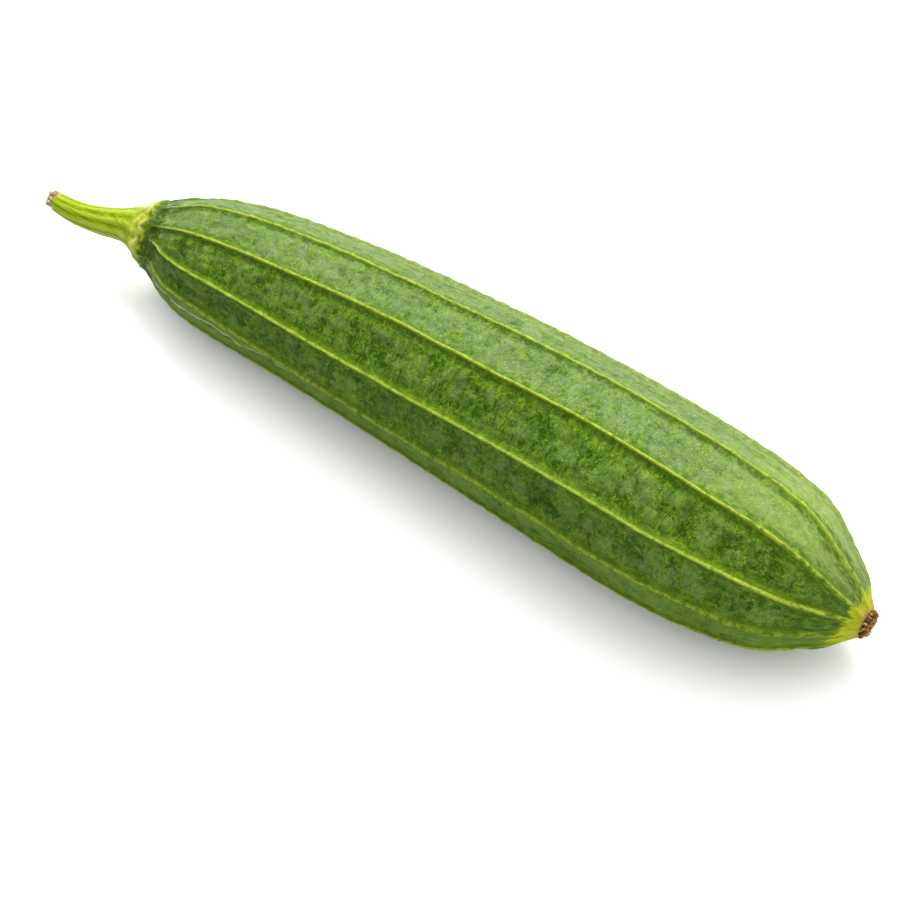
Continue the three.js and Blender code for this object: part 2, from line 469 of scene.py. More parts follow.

# Painted light makes the skin paler on the flank nearest the floor, standing for the floor's light, and on the
# upper
# side, most towards the flower scar: degrees round where the flank starts, metres along where the nose turns
# pale, and how much paler each is.
FLOOR_LIT_FLANK, FLOOR_LIGHT_PALENESS = 252, 0.26
NOSE_LIGHT_STRETCH, NOSE_LIGHT_PALENESS = (215 * MM, 265 * MM), 0.48
UPPER_SIDE_LIGHT_PALENESS = 0.15
# Pale lengthwise rays lie on the highest panel: degrees round from ridge 0 where they come and go.
RAYS_START, RAYS_STOP = (106, 114), (146, 138)

# How far the crests stray from their smooth line, and how soon: degrees and metres.
CREST_STRAY, CREST_STRAY_LENGTH = 0.55, 11 * MM

# The panels between the crests swell in soft folds, from these degrees off a crest and this far from each end.
SWELLING_HEIGHT = 2.0 * MM
PANEL_STARTS = (2.5, 11)
PANEL_FROM_STEM, PANEL_FROM_SCAR = (6 * MM, 30 * MM), (4 * MM, 30 * MM)
# How long and how wide the folds are, and the size of the lumps and the grain on them.
FOLD_LENGTH, FOLD_WIDTH, LUMP, GRAIN = 7.5 * MM, 17 * MM, 3.4 * MM, 1.7 * MM
# The crests are knobbly: how high, how far to each side, and how far apart the knobs are.
CREST_KNOB_HEIGHT, CREST_KNOB_REACH, CREST_KNOB = 0.5 * MM, 0.9 * MM, 3.1 * MM

# The swelling on the shoulder: degrees round, how high, how far along, and how far it reaches.
SWELL_SIDE, SWELL_HEIGHT, SWELL_MIDDLE, SWELL_REACH = 55, 1.3 * MM, 4.5 * MM, 4.2 * MM


def ridge_height(along):
    """How much of the ridges' height is left here: they flatten towards both ends."""
    from_stem = smoothstep(along, 0, FADE_AT_STEM)
    from_scar = smoothstep(FRUIT_LENGTH - along, 0, FADE_AT_SCAR)
    return FADE_LEFT + (1 - FADE_LEFT) * min(from_stem, from_scar)


def station_share(station):
    share = station / STATIONS
    return share - STATION_CROWDING * math.sin(math.tau * share) / math.tau


def station_along(station):
    start = COLLAR_LENGTH - HIDDEN_IN_COLLAR
    return start + (FRUIT_LENGTH - start) * station_share(station)


def strayed_crest(ridge, along):
    """The crest's angle with the small wobble of growth."""
    stray = noise.noise(Vector((along / CREST_STRAY_LENGTH, 3.7 * (ridge % RIDGES), 0.5)))
    return crest_angle(ridge, along) + CREST_STRAY * stray * smoothstep(along, 0, FADE_AT_STEM)


def shoulder_swell(angle, along):
    """The shoulder swells a little on its far upper side, over the collar's edge."""
    facing = (1 + math.cos(math.radians(angle - SWELL_SIDE))) / 2
    return SWELL_HEIGHT * facing**3 * math.exp(-(((along - SWELL_MIDDLE) / SWELL_REACH) ** 2))


def skin_radius(angle, along):
    """The fruit's radius at any angle round it, on a crest, in a valley or between them."""
    ridge = 0
    angle = crest_angle(0, along) + (angle - crest_angle(0, along)) % 360
    while crest_angle(ridge + 1, along) <= angle:
        ridge += 1
    start, end = crest_angle(ridge, along), crest_angle(ridge + 1, along)
    degrees = (angle - start) / (end - start) * RIDGE_STEP
    depth = flank_depth(min(degrees, RIDGE_STEP - degrees))
    return radius_mm(along / MM) * MM * (1 - depth * ridge_height(along))


def fruit_corner(column, station):
    ridge, part = divmod(column, len(CAGE_SECTION))
    degrees, depth = CAGE_SECTION[part]
    along = station_along(station)
    here = strayed_crest(ridge, along)
    neighbour = strayed_crest(ridge + (1 if degrees > 0 else -1), along)
    angle = here + degrees * abs(neighbour - here) / RIDGE_STEP
    radius = radius_mm(along / MM) * MM * (1 - depth * ridge_height(along))
    radius += shoulder_swell(angle, along)
    radius -= SUNK_IN_COLLAR * smoothstep(along, COLLAR_LENGTH + HIDDEN_IN_COLLAR, COLLAR_LENGTH)
    return middle_at(along) + across(direction_at(along), angle) * radius


def mark_the_skin(fruit):
    """Leaves on the cage each corner's place on the skin, its way to the crest, how far the panel between the
    crests may swell there, and where each marking lies."""
    data = fruit.data
    columns, stations = read_cage(fruit)
    places, ways, belows, lit_sides, painted_lights, panels = [], [], [], [], [], []
    seam_ways, seams, rays = [], [], []
    for column, station in zip(columns, stations):
        ridge, part = divmod(column, len(CAGE_SECTION))
        degrees = CAGE_SECTION[part][0]
        along = station_along(station)
        girth = radius_mm(along / MM) * MM
        round_at = ridge * RIDGE_STEP + degrees
        angle = math.radians(round_at)
        places += [along, BELLY_RADIUS * math.cos(angle), BELLY_RADIUS * math.sin(angle)]
        ways.append(math.radians(abs(degrees)) * girth)
        belows.append((degrees > 0) - (degrees < 0))
        # The lit upper side, which gets painted sheen and painted light.
        lit_side = smoothstep(round_at, *LIT_SIDE_STARTS) * smoothstep(round_at, *LIT_SIDE_STOPS)
        lit_sides.append(lit_side)
        # Painted light: paler on the upper side, most at the nose, and on the flank nearest the floor.
        nose = lit_side * (UPPER_SIDE_LIGHT_PALENESS + NOSE_LIGHT_PALENESS * smoothstep(along, *NOSE_LIGHT_STRETCH))
        painted_lights.append(nose + FLOOR_LIGHT_PALENESS * (round_at > FLOOR_LIT_FLANK))
        rays.append(smoothstep(round_at, *RAYS_START) * smoothstep(round_at, *RAYS_STOP))
        seam_ways.append(math.radians(degrees - SEAM_PLACE) * girth if ridge == SEAM_RIDGE else -girth)
        by_seam = ridge == SEAM_RIDGE and SEAM_FROM < degrees < SEAM_TO
        seams.append(by_seam * smoothstep(along, SEAM_LENGTH, 0.5 * SEAM_LENGTH))
        ends = smoothstep(along, *PANEL_FROM_STEM) * smoothstep(FRUIT_LENGTH - along, *PANEL_FROM_SCAR)
        panels.append(ends * smoothstep(abs(degrees), *PANEL_STARTS))
    data.attributes.new("skin_place", "FLOAT_VECTOR", "POINT")
    data.attributes["skin_place"].data.foreach_set("vector", places)
    worn, faint = [[float(column // len(CAGE_SECTION) == ridge) for column in columns]
                   for ridge in (WORN_RIDGE, FAINT_RIDGE)]
    for name, values in (
        ("from_crest", ways), ("below", belows), ("worn", worn), ("faint", faint), ("lit_upper_side", lit_sides),
        ("painted_light", painted_lights), ("from_seam", seam_ways), ("seam", seams), ("panel", panels), ("rays", rays),
    ):
        keep_mark(fruit, name, values)


def swelling_at(place):
    """How far the skin is swollen here, from 0 to 1: soft folds across the panel, with small lumps on them."""
    fold = noise.noise(Vector((place.x / FOLD_LENGTH, place.y / FOLD_WIDTH, place.z / FOLD_WIDTH)))
    lump = noise.noise(place / LUMP + Vector((7, 3, 5)))
    grain = noise.noise(place / GRAIN + Vector((1, 9, 2)))
    return min(max(0.45 + 0.45 * fold + 0.30 * lump + 0.14 * grain, 0), 1)


def crest_knob_at(place):
    """How far the crest stands up here, from 0 to 1."""
    return min(max(0.4 + 0.8 * noise.noise(place / CREST_KNOB + Vector((4, 4, 8))), 0), 1)


def raise_the_skin(fruit):
    """Swells the panels and roughens the crests."""
    flat_places = [0.0] * (3 * len(fruit.data.vertices))
    fruit.data.attributes["skin_place"].data.foreach_get("vector", flat_places)
    places = [Vector(flat_places[i:i + 3]) for i in range(0, len(flat_places), 3)]
    panels = read_mark(fruit, "panel")
    ways = read_mark(fruit, "from_crest")
    swellings = [panel and panel * swelling_at(place) for panel, place in zip(panels, places)]
    crest_knobs = [
        crest_knob_at(place) * smoothstep(-way, -CREST_KNOB_REACH, 0) if way < CREST_KNOB_REACH else 0.0
        for way, place in zip(ways, places)
    ]
    emboss(fruit, "swellings", swellings, SWELLING_HEIGHT)
    emboss(fruit, "crest_knobs", crest_knobs, CREST_KNOB_HEIGHT)


def make_fruit():
    alongs = [station_along(station) for station in range(STATIONS + 1)]
    radii = [radius_mm(along / MM) * MM for along in alongs]
    fruit = draw_tube_cage("ridged_fruit", COLUMNS, [middle_at(along) for along in alongs], radii)
    settle_corners(fruit, fruit_corner)
    close_ends(fruit, STATIONS, FRUIT_CAP_INSET)
    mark_the_skin(fruit)
    unroll(fruit, COLUMNS, station_share)
    use_modifier(fruit, "SUBSURF", levels=2, render_levels=2)
    raise_the_skin(fruit)
    make_smooth(fruit)
    return fruit


# ---------------------------------------------------------------- the stalk

# Distance out from the fruit's start, sideways, up, and the radius over the ribs, in millimetres.
STEM_ROUTE = [
    (0, 0, 0, 7.9), (2.5, -0.2, -0.2, 7.4), (6, -0.7, -0.8, 6.2), (10, -1.4, -1.7, 5.6),
    (17.5, -2.8, -3.2, 4.9), (27.5, -4, -4, 4.2), (34, -4.2, -3.5, 3.6), (37.5, -4.1, -2.9, 3.2),
]
STEM_RIBS = 10
STEM_COLUMNS = 80
# The stations below 0 are the collar, which lies over the fruit's first stretch.
STEM_STATIONS = [
    -8.4, -7.6, -7, -6.4, -5.6, -4.8, -4, -3.2, -2.4, -1.6, -0.8, 0, 0.9, 1.9, 2.9, 3.8, 5, 6.5, 8.5, 11, 14,
    17, 20, 23, 26, 29, 32, 34, 35,
]
STEM_CAP_INSET = 1 * MM
# Where the first rib lies in degrees, and how deep the grooves are as a share of the radius.
RIB_PHASE = 18
RIB_HEIGHT, MAJOR_RIB_HEIGHT = 0.055, 0.035
# In millimetres: the collar's lump on each major rib, its place and half width, how far the collar stands
# proud of the skin, and where the ribs flatten.
COLLAR_LUMP, COLLAR_MIDDLE, COLLAR_WIDTH = 0.9, -3.2, 2.2
COLLAR_PROUD = smooth_curve([(0, 0), (1.5, 0.35), (5, 0.3), (7, 0), (7.7, -0.45), (8.6, -1.2)])
RIBS_FADE = (-4.5, 0)
COLLAR_RAGGEDNESS, COLLAR_LOBES = 0.16, 1.7
# Small knobs cover the collar between these distances out, and hardly show on the stalk.
KNOB_HEIGHT, KNOB = 1.0 * MM, 2.9 * MM
KNOBS_STOP, KNOBS_START = (2.5, -1.5), (-7.2, -4.5)
KNOBS_ON_STALK = 0.15

stem_side = smooth_curve([(out, side) for out, side, up, radius in STEM_ROUTE])
stem_rise = smooth_curve([(out, up) for out, side, up, radius in STEM_ROUTE])
stem_girth = smooth_curve([(out, radius) for out, side, up, radius in STEM_ROUTE])


def stem_middle(out):
    """The collar follows the fruit's middle line, and the stalk its own."""
    if out < 0:
        return middle_at(-out * MM)
    return middle_at(0) + Vector((-out, stem_side(out), stem_rise(out))) * MM


def stem_direction(out):
    return (stem_middle(out - 3) - stem_middle(out + 3)).normalized()


def rib_at(column):
    """1 on a rib and 0 in the groove beside it, and the same for the five major ribs alone."""
    angle = math.radians(360 * column / STEM_COLUMNS - RIB_PHASE)
    return (1 + math.cos(STEM_RIBS * angle)) / 2, (1 + math.cos(STEM_RIBS / 2 * angle)) / 2


def stem_corner(column, station):
    out = STEM_STATIONS[station]
    angle = 360 * column / STEM_COLUMNS
    rib, major = rib_at(column)
    ribbing = RIB_HEIGHT * (1 - rib) + MAJOR_RIB_HEIGHT * (1 - major)
    if out < 0:
        turn = math.radians(angle)
        ragged = noise.noise(Vector((COLLAR_LOBES * math.cos(turn), COLLAR_LOBES * math.sin(turn), 4)))
        out *= 1 + COLLAR_RAGGEDNESS * ragged
        radius = skin_radius(angle, -out * MM) + COLLAR_PROUD(-out) * MM
        radius *= 1 - ribbing * smoothstep(out, *RIBS_FADE)
    else:
        radius = stem_girth(out) * MM * (1 - ribbing)
    radius += shoulder_swell(angle, -out * MM)
    radius += COLLAR_LUMP * MM * math.exp(-(((out - COLLAR_MIDDLE) / COLLAR_WIDTH) ** 2)) * major * rib
    return stem_middle(out) + across(stem_direction(out), angle) * radius


def make_stem():
    last = len(STEM_STATIONS) - 1
    outs = list(reversed(STEM_STATIONS))
    stem = draw_tube_cage(
        "stalk", STEM_COLUMNS, [stem_middle(out) for out in outs],
        [(stem_girth(out) if out > 0 else radius_mm(-out)) * MM for out in outs],
    )
    settle_corners(stem, lambda column, station: stem_corner(column, last - station))
    close_ends(stem, last, STEM_CAP_INSET)
    columns, stations = read_cage(stem)
    keep_mark(stem, "rib", [rib_at(column)[0] for column in columns])
    keep_mark(stem, "out", [STEM_STATIONS[last - station] * MM for station in stations])
    unroll(stem, STEM_COLUMNS, lambda station: station / last)
    use_modifier(stem, "SUBSURF", levels=2, render_levels=2)
    knobs = []
    for corner, out in zip(stem.data.vertices, read_mark(stem, "out")):
        on_collar = smoothstep(out / MM, *KNOBS_STOP) * smoothstep(out / MM, *KNOBS_START)
        wave = 0.5 + 0.7 * noise.noise(corner.co / KNOB)
        knobs.append(min(max(wave, 0), 1) * (KNOBS_ON_STALK + (1 - KNOBS_ON_STALK) * on_collar))
    emboss(stem, "knobs", knobs, KNOB_HEIGHT)
    make_smooth(stem)
    return stem


# ---------------------------------------------------------------- dry ends

PLUG_COLUMNS = 32
# The rings drawn in on each flat end of a plug, as shares of its radius.
PLUG_INSETS = (0.32, 0.25, 0.25)
CRUMB_HEIGHT = 1.2 * MM
# The crumbs are longer along the plug by this share, and their cells are pushed about this far.
FIBRE_SHARE, CRUMB_PUSH = 0.6, 0.4
CRACK_WIDTH = (0.02, 0.40)
PUSH_OFFSETS = (0, 0, 0), (19, 33, 47), (74, -24, 99)
# The stalk's cut end: its middle in millimetres out from the fruit's start, its size and its crumbs.
CUT_PLACE, CUT_RADIUS, CUT_LENGTH, CUT_CRUMB = 35.8, 2.7 * MM, 3.2 * MM, 1.0 * MM
# The flower's scar: how far its middle stands past the tip, its size and its crumbs.
SCAR_PROUD, SCAR_RADIUS, SCAR_LENGTH, SCAR_CRUMB = 0.1 * MM, 4.3 * MM, 2.6 * MM, 0.85 * MM


def noise_push(place):
    """A smooth push that differs from place to place, always the same in the same place."""
    return Vector([noise.noise(place + Vector(offset)) for offset in PUSH_OFFSETS])


def crumbly_plug(name, centre, direction, radius, length, crumb):
    """A short rough plug of dry tissue, its axis along direction, broken into crumbs of this size."""
    start_fresh()
    bpy.ops.mesh.primitive_cylinder_add(
        vertices=PLUG_COLUMNS, radius=radius, depth=length, location=centre,
        rotation=direction.to_track_quat("Z", "Y").to_euler(),
    )
    plug = bpy.context.object
    plug.name = name
    bpy.ops.object.transform_apply(location=True, rotation=True, scale=True)
    bpy.ops.object.mode_set(mode="EDIT")
    bpy.ops.mesh.select_all(action="DESELECT")
    mesh = bmesh.from_edit_mesh(plug.data)
    for face in mesh.faces:
        face.select = abs(face.normal.dot(direction)) > 0.9
    bmesh.update_edit_mesh(plug.data)
    for share in PLUG_INSETS:
        bpy.ops.mesh.inset(thickness=radius * share)
    bpy.ops.mesh.poke()
    bpy.ops.mesh.select_all(action="SELECT")
    bpy.ops.mesh.subdivide(number_cuts=1)
    bpy.ops.object.mode_set(mode="OBJECT")
    use_modifier(plug, "SUBSURF", levels=2, render_levels=2)
    heights = []
    for corner in plug.data.vertices:
        fibre = corner.co - direction * (corner.co - centre).dot(direction) * FIBRE_SHARE
        spread = fibre + CRUMB_PUSH * crumb * noise_push(corner.co / (0.8 * crumb))
        (near, middle, *others), (seed, *others) = noise.voronoi(spread / crumb)
        own_height = 0.6 + 0.7 * noise.noise(seed * 3.3)
        cracks = smoothstep(middle - near, *CRACK_WIDTH) * (1.1 - 0.7 * near)
        height = cracks * own_height + 0.25 * noise.noise(corner.co / (0.35 * crumb))
        heights.append(min(max(height, 0), 1))
    emboss(plug, "crumbs", heights, CRUMB_HEIGHT)
    make_smooth(plug)
    return plug


# ---------------------------------------------------------------- finishes


class Recipe:
    """A material's nodes, mixed step by step."""

    def __init__(self, name):
        self.material = bpy.data.materials.new(name)
        self.material.use_nodes = True
        self.nodes = self.material.node_tree.nodes
        self.links = self.material.node_tree.links
        self.shader = self.nodes["Principled BSDF"]

    def join(self, value, socket):
        if isinstance(value, bpy.types.NodeSocket):
            self.links.new(value, socket)
        else:
            socket.default_value = value

    def node(self, kind, inputs):
        """A new node with each of these inputs set, or linked to another node's output."""
        node = self.nodes.new("ShaderNode" + kind)
        for name, value in inputs.items():
            self.join(value, node.inputs[name])
        return node

    def object_place(self):
        return self.node("TexCoord", {}).outputs["Object"]

    def mark(self, name, kind="Fac"):
        node = self.node("Attribute", {})
        node.attribute_name = name
        return node.outputs[kind]

    def stretch(self, vector, scale):
        return self.node("Mapping", {"Vector": vector, "Scale": scale}).outputs[0]

    def noise(self, vector, scale, detail=2.0, roughness=0.5, distortion=0.0):
        grain = {"Scale": scale, "Detail": detail, "Roughness": roughness, "Distortion": distortion}
        return self.node("TexNoise", {"Vector": vector, **grain}).outputs["Fac"]

    def cells(self, vector, scale):
        """The distance from the nearest cell's middle."""
        return self.node("TexVoronoi", {"Vector": vector, "Scale": scale}).outputs["Distance"]

    def span(self, value, low, high, to_low=0.0, to_high=1.0, soft=True):
        """Goes from to_low to to_high while the value goes from low to high."""
        ends = {"From Min": low, "From Max": high, "To Min": to_low, "To Max": to_high}
        node = self.node("MapRange", {"Value": value, **ends})
        node.interpolation_type = "SMOOTHSTEP" if soft else "LINEAR"
        return node.outputs[0]

    def sum(self, operation, first, second):
        node = self.node("Math", {0: first, 1: second})
        node.operation = operation
        return node.outputs[0]

    def times(self, first, second):
        return self.sum("MULTIPLY", first, second)

    def total(self, *weighted):
        """The sum of (value, weight) pairs."""
        whole = None
        for value, weight in weighted:
            share = self.times(value, weight)
            whole = share if whole is None else self.sum("ADD", whole, share)
        return whole

    def line(self, value, width):
        """1 where the value is a half, and 0 from this far on both sides of it."""
        return self.span(self.sum("ABSOLUTE", self.sum("SUBTRACT", value, 0.5), 0), 0, width, 1, 0)

    def blend(self, amount, first, second):
        node = self.nodes.new("ShaderNodeMix")
        node.data_type = "RGBA"
        self.join(amount, node.inputs[0])
        self.join(first, node.inputs[6])
        self.join(second, node.inputs[7])
        return node.outputs[2]

    def part(self, vector, axis):
        return self.node("SeparateXYZ", {0: vector}).outputs[axis]

    def bump(self, height, distance, under=None):
        node = self.node("Bump", {"Height": height, "Distance": distance, "Strength": 1})
        if under is not None:
            self.links.new(under, node.inputs["Normal"])
        return node.outputs[0]

    def connect(self, skin, roughness, gloss, relief):
        self.links.new(skin, self.shader.inputs["Base Color"])
        self.links.new(roughness, self.shader.inputs["Roughness"])
        self.shader.inputs["Specular IOR Level"].default_value = gloss
        self.links.new(relief, self.shader.inputs["Normal"])
        return self.material


def colour(red, green, blue):
    return (red, green, blue, 1)


DEEP_GREEN = colour(0.046, 0.138, 0.001)
LEAF_GREEN = colour(0.140, 0.305, 0.008)
PALE_GREEN = colour(0.310, 0.520, 0.035)
FRESH_GREEN = colour(0.200, 0.370, 0.006)
DOT_LIME = colour(0.480, 0.660, 0.060)
WAXY_SHEEN_GREY = colour(0.255, 0.410, 0.085)
WAX_AND_SHEEN_PATCH = colour(0.340, 0.535, 0.150)
NOSE_LIGHT_PALE = colour(0.500, 0.680, 0.150)
MARGIN_AND_LIT_GREEN = colour(0.300, 0.470, 0.012)
WORN_OLIVE = colour(0.370, 0.540, 0.070)
SHEEN_WHITE = colour(0.450, 0.575, 0.330)
CREST_LIME = colour(0.660, 0.830, 0.095)
SEAM_HIGHLIGHT = colour(0.820, 0.950, 0.480)
SHOULDER_GREEN = colour(0.078, 0.160, 0.010)
SHOULDER_LEAF = colour(0.150, 0.270, 0.012)
RAY_PALE = colour(0.500, 0.640, 0.220)
NECK_YELLOW = colour(0.840, 0.980, 0.012)
TIP_CREAM = colour(1.000, 0.830, 0.140)

# The stalk from its grooves to its ribs, and the collar from its hollows to its knobs, darker in the hollows as
# painted shade and palest on the knobs as painted highlights.
STALK_GREENS = colour(0.260, 0.390, 0.002), colour(0.460, 0.640, 0.006), colour(0.660, 0.800, 0.080)
COLLAR_LIT_AND_SHADED_GREENS = colour(0.400, 0.520, 0.012), colour(0.600, 0.700, 0.045), colour(0.800, 0.860, 0.190)
# The dry ends: the gaps, the crumbs and their palest tops.
CUT_COLOURS = colour(0.40, 0.26, 0.10), colour(0.84, 0.66, 0.38), colour(0.98, 0.88, 0.64)
SCAR_COLOURS = colour(0.09, 0.035, 0.006), colour(0.44, 0.24, 0.06), colour(0.90, 0.60, 0.25)

SKIN_GLOSS, STALK_GLOSS, CORK_GLOSS = 0.12, 0.14, 0.25

# Stretches along the fruit in which a marking comes, or goes where the first number is the larger.
NOSE_LIGHT_COMES = (222 * MM, 268 * MM)
CRESTS_BROADEN, BROAD_SHARE = (222 * MM, 272 * MM), 0.52
CRESTS_BREAK = (225 * MM, 275 * MM)
CRESTS_BEGIN = (7 * MM, 12 * MM)
SHOULDER_PALE = (26 * MM, 12 * MM)
SHOULDER_DARK = (16 * MM, 9 * MM)
SHOULDER_SHADED = (35 * MM, 10 * MM)
SCRATCHES_COME, SCRATCHES_GO = (266 * MM, 272 * MM), (283 * MM, 279.5 * MM)
YELLOW_COMES, CREAM_COMES = (280.8 * MM, 283.8 * MM), (284.2 * MM, 287 * MM)
NECK_LOBES = 3.6 * MM

# Distances from a crest in which each marking beside it comes.
FRESH_MARGIN = (2.2 * MM, 0.6 * MM)
DARK_MARGIN = (3.4 * MM, 1.4 * MM)
UPPER_MARGIN = (2.4 * MM, 0.6 * MM)
LOWER_MARGIN = (1.0 * MM, 0.4 * MM)
SHADED_MARGIN = (3.6 * MM, 1.0 * MM)
WASHED_MARGIN = (6.0 * MM, 1.0 * MM)
CREST_LINE = (0.64 * MM, 0.14 * MM)
# Distances from the seam: its painted highlight line, and the painted shade along its lower side.
SEAM_LINE = (0.60 * MM, 0.22 * MM)
SEAM_SHADE_COMES, SEAM_SHADE_GOES = (0.4 * MM, 0.7 * MM), (1.6 * MM, 1.0 * MM)

# Distances out from the fruit's start: the collar's and the shoulder's borders, and how ragged each is.
COLLAR_BORDER, COLLAR_FRAY = (1.8 * MM, -2.2 * MM), 1.2 * MM
SHOULDER_BORDER, SHOULDER_FRAY = (-4.0 * MM, -6.8 * MM), 1.0 * MM


class Skin(Recipe):
    """The fruit's skin, with the marks and the mottling that all its markings share."""

    def __init__(self):
        super().__init__("green_skin")
        self.place = self.mark("skin_place", "Vector")
        self.along = self.part(self.place, "X")
        self.below = self.mark("below")
        self.worn = self.mark("worn")
        self.faint = self.mark("faint")
        self.lit_side = self.mark("lit_upper_side")
        # Counting only a share of the distance from a crest makes its markings broader.
        share = self.span(self.along, *CRESTS_BROADEN, 1, BROAD_SHARE)
        self.from_crest = self.times(self.mark("from_crest"), share)
        self.mottle = self.cloud((1.3, 0.8, 0.8), 430, detail=4, roughness=0.7, distortion=0.5)
        self.crisp = self.noise(self.place, 1250, detail=2, roughness=0.75, distortion=0.4)
        swirls = self.cloud((1.2, 0.9, 0.9), 560, detail=2, roughness=0.6, distortion=1.6)
        self.swirl_line = self.line(swirls, 0.065)
        self.dashes = self.cloud((0.5, 1, 1), 700, detail=3, roughness=0.7)

    def cloud(self, stretch, scale, **grain):
        """Noise over the skin, drawn out where a share of the stretch is below 1."""
        return self.noise(self.stretch(self.place, stretch), scale, **grain)

    def lay(self, amount, tint, skin):
        """Lays a tint over the skin, as thickly as the amount says."""
        return self.blend(amount, skin, tint)


def mottle_skin(r):
    """Deep to pale green, with painted light making the swellings palest, with curls, wax-like patches that are
    partly painted sheen, a grey haze of painted sheen and lone pale dots.
    """
    swelling, panel = r.mark("swellings"), r.mark("panel")
    blotch = r.cloud((1.5, 0.7, 0.7), 150, detail=2)
    streak = r.cloud((0.11, 1, 1), 900, detail=3, roughness=0.6)
    curls = r.cloud((1.2, 0.9, 0.9), 300, detail=2, roughness=0.6, distortion=1.2)
    # Painted light: the swellings are paler, as lit bulges, and so are the upper side, the nose and the flank
    # nearest the floor.
    tone = r.total(
        (swelling, 0.34), (blotch, 0.74), (r.mottle, 1.50), (r.crisp, 1.00), (streak, 0.40),
        (r.line(curls, 0.055), 0.32), (r.swirl_line, 0.28), (r.mark("painted_light"), 1.0), (panel, -0.35),
    )
    skin = r.blend(r.span(tone, 1.56, 1.81), DEEP_GREEN, LEAF_GREEN)
    skin = r.lay(r.span(tone, 1.85, 2.15), PALE_GREEN, skin)

    # Painted sheen: a grey wax-like haze in soft patches.
    sheen_veil = r.cloud((1.0, 0.7, 0.7), 210, detail=4, roughness=0.65)
    skin = r.lay(r.times(r.span(sheen_veil, 0.49, 0.59), 0.40), WAXY_SHEEN_GREY, skin)
    # Wax-like patches, partly painted sheen, lying mostly on the swellings.
    patch = r.cloud((1.5, 0.8, 0.8), 200, detail=4, roughness=0.66, distortion=0.9)
    swollen = r.total((patch, 0.85), (swelling, 0.30))
    wax_and_sheen = r.times(r.span(swollen, 0.52, 0.68), panel)
    skin = r.lay(r.times(wax_and_sheen, 0.40), WAX_AND_SHEEN_PATCH, skin)
    lone = r.times(r.span(r.cells(r.place, 420), 0.28, 0.15), r.span(r.mottle, 0.54, 0.64))
    return r.lay(r.times(lone, 0.8), DOT_LIME, skin)


def paint_upper_light_and_rays(r, skin):
    """Painted sheen as cloudy white on the lit upper side, the lengthwise rays of the highest panel, and painted
    light on the upper side of the nose.
    """
    cloudy = r.cloud((1.0, 0.7, 0.7), 260, detail=5, roughness=0.72)
    # Painted sheen: cloudy white on the lit upper side.
    skin = r.lay(r.times(r.lit_side, r.span(cloudy, 0.36, 0.64, 0.05, 0.40)), SHEEN_WHITE, skin)
    rays = r.mark("rays")
    ray = r.cloud((0.07, 1, 1), 620, detail=4, roughness=0.65)
    skin = r.lay(r.times(rays, r.span(ray, 0.50, 0.60, 0, 0.42)), RAY_PALE, skin)
    skin = r.lay(r.times(rays, r.span(ray, 0.46, 0.38, 0, 0.40)), LEAF_GREEN, skin)
    # Painted light: the upper side of the nose turns pale.
    lit_nose = r.times(r.lit_side, r.span(r.along, *NOSE_LIGHT_COMES))
    return r.lay(r.times(lit_nose, r.span(cloudy, 0.34, 0.60, 0.35, 0.70)), NOSE_LIGHT_PALE, skin)


def mark_crest_margins(r, skin, plain):
    """Fresh green, dark dashes and a paler margin beside each crest, which painted light makes wider and paler
    on each crest's upper side, and olive beside the worn one. Little of it shows where plain is below 1."""
    beside = r.times(r.span(r.from_crest, *FRESH_MARGIN), plain)
    skin = r.lay(r.times(beside, r.span(r.lit_side, 0, 1, 0.75, 0.45)), FRESH_GREEN, skin)
    dashed = r.span(r.from_crest, *DARK_MARGIN)
    under = r.times(dashed, r.span(r.dashes, 0.42, 0.54))
    skin = r.lay(r.times(under, 0.62), DEEP_GREEN, skin)
    # Painted light: the margin on the upper side of each crest is wider and paler.
    above = r.times(r.span(r.below, 0.1, -0.8), r.span(r.from_crest, *UPPER_MARGIN))
    above = r.times(above, r.span(r.mottle, 0.38, 0.58, 0.35, 1.0))
    above = r.times(r.times(above, plain), r.span(r.lit_side, 0, 1, 1.0, 0.5))
    beneath = r.times(r.span(r.below, -0.1, 0.8), r.span(r.from_crest, *LOWER_MARGIN))
    skin = r.lay(r.total((above, 0.50), (beneath, 0.38)), MARGIN_AND_LIT_GREEN, skin)
    olive = r.times(dashed, r.span(r.dashes, 0.42, 0.54, 0.10, 0.70))
    olive = r.times(olive, r.span(r.below, -0.2, 0.8, 0.10, 0.55))
    return r.lay(r.times(olive, r.span(r.worn, 0.2, 0.8)), WORN_OLIVE, skin)


def find_crest(r, plain):
    """How strongly the pale crest line shows. It is broken, most of all on the worn ridge and the nose."""
    whole = r.sum("SUBTRACT", r.span(r.along, *CRESTS_BREAK, 0.55, 0.10), r.times(r.worn, 0.45))
    broken = r.span(r.noise(r.place, 420, detail=3, roughness=0.7), 0.38, 0.56)
    broken = r.sum("MINIMUM", r.sum("ADD", broken, whole), 1)
    broken = r.times(broken, r.span(r.along, *CRESTS_BEGIN))
    across_crest = r.times(r.from_crest, r.span(r.worn, 0, 1, 1.0, 0.60, soft=False))
    crest = r.times(r.span(across_crest, *CREST_LINE), broken)
    return r.times(r.times(crest, plain), r.span(r.worn, 0, 1, 1.0, 0.75, soft=False))


